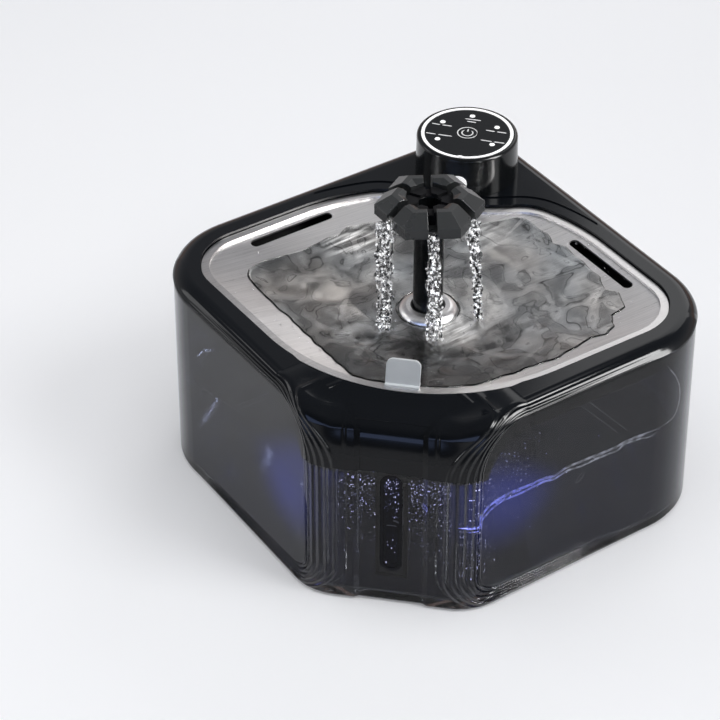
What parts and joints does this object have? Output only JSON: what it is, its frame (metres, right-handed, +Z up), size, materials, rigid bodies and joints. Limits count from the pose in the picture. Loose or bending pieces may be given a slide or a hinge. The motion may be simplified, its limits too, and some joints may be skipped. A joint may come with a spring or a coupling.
{
  "type": "pet water fountain",
  "caption": "Square corner-standing pet water fountain: smoked ribbed tank, black frame, steel drinking tray, riser tube with faceted nozzle, round control puck on the back corner.",
  "frame": {"origin": "on the table under the middle of the whole part, at the height of the rubber feet", "axes": "+Z up; -Y towards the cut-off front with the water gauge; +Y towards the control puck on the back corner; +X to the right seen from the front"},
  "size_m": [0.2414, 0.2298, 0.1618],
  "materials": {
    "smoked_plastic": "gloss smoked transparent plastic",
    "clear_window": "clear plastic",
    "black_gloss": "gloss black injection moulded",
    "black_matte": "fine matte black",
    "steel": "brushed stainless steel",
    "grey_silicone": "soft grey silicone",
    "black_rubber": "matte black rubber",
    "white_light": "white translucent, lit",
    "foam": "open-cell foam",
    "filter_cloth": "white filter fleece over carbon and resin",
    "magnet": "plastic-bonded magnet",
    "ceramic": "white ceramic",
    "board_green": "printed circuit board",
    "cell_wrap": "shrink-wrapped lithium cell",
    "screw_steel": "zinc plated steel",
    "led_clear": "clear lens over blue lights",
    "float_white": "foam-filled float"
  },
  "bodies": {
    "base": {"tank": "smoked_plastic", "tank_feet": "black_rubber", "gauge_lens": "clear_window", "float_guide": "black_matte", "riser_tube": "black_gloss", "pump_housing": "black_matte", "pump_cover": "black_matte", "impeller_shaft": "ceramic", "intake_sponge": "foam", "pump_cups": "black_rubber", "led_ring": "led_clear"},
    "float": {"level_float": "float_white"},
    "rotor": {"impeller": "magnet"},
    "frame": {"top_frame": "black_gloss", "tray_gasket": "black_rubber", "catch_pan": "black_matte", "filter_basket": "black_matte", "filter_cartridge": "filter_cloth"},
    "tray": {"tray": "steel", "tray_tab": "grey_silicone", "tube_grommet": "black_rubber"},
    "nozzle": {"nozzle_head": "black_gloss", "nozzle_insert": "black_matte"},
    "puck": {"puck_housing": "black_gloss", "puck_light_ring": "white_light", "puck_top_disc": "black_gloss", "mode_lenses": "white_light", "sensor_lens": "white_light", "puck_base": "black_matte", "puck_screws": "screw_steel", "puck_battery": "cell_wrap", "puck_board": "board_green", "charge_port": "screw_steel"},
    "button": {"power_button": "black_gloss"},
    "port_flap": {"port_plug": "black_rubber"}
  },
  "joints": [
    {"name": "frame_lift", "type": "slide", "parent": "base", "child": "frame", "axis": [0, 0, 1], "range_m": [0, 0.08]},
    {"name": "tray_lift", "type": "slide", "parent": "frame", "child": "tray", "axis": [0, 0, 1], "range_m": [0, 0.06]},
    {"name": "nozzle_pull", "type": "slide", "parent": "tray", "child": "nozzle", "axis": [0, 0, 1], "range_m": [0, 0.025]},
    {"name": "puck_lift", "type": "slide", "parent": "frame", "child": "puck", "axis": [0, 0, 1], "range_m": [0, 0.03]},
    {"name": "power_press", "type": "slide", "parent": "puck", "child": "button", "axis": [0, 0, -1], "range_m": [0, 0.0006], "stiffness_N_per_m": 900},
    {"name": "port_flap_hinge", "type": "hinge", "parent": "puck", "child": "port_flap", "pos_m": [0, 0.10782, 0.1105], "axis": [-1, 0, 0], "range_deg": [0, 100]},
    {"name": "impeller_spin", "type": "hinge", "parent": "base", "child": "rotor", "pos_m": [0, -0.02368, 0.022], "axis": [0, 1, 0], "continuous": true},
    {"name": "float_rise", "type": "slide", "parent": "base", "child": "float", "axis": [0, 0, 1], "range_m": [-0.026, 0.016]}
  ]
}
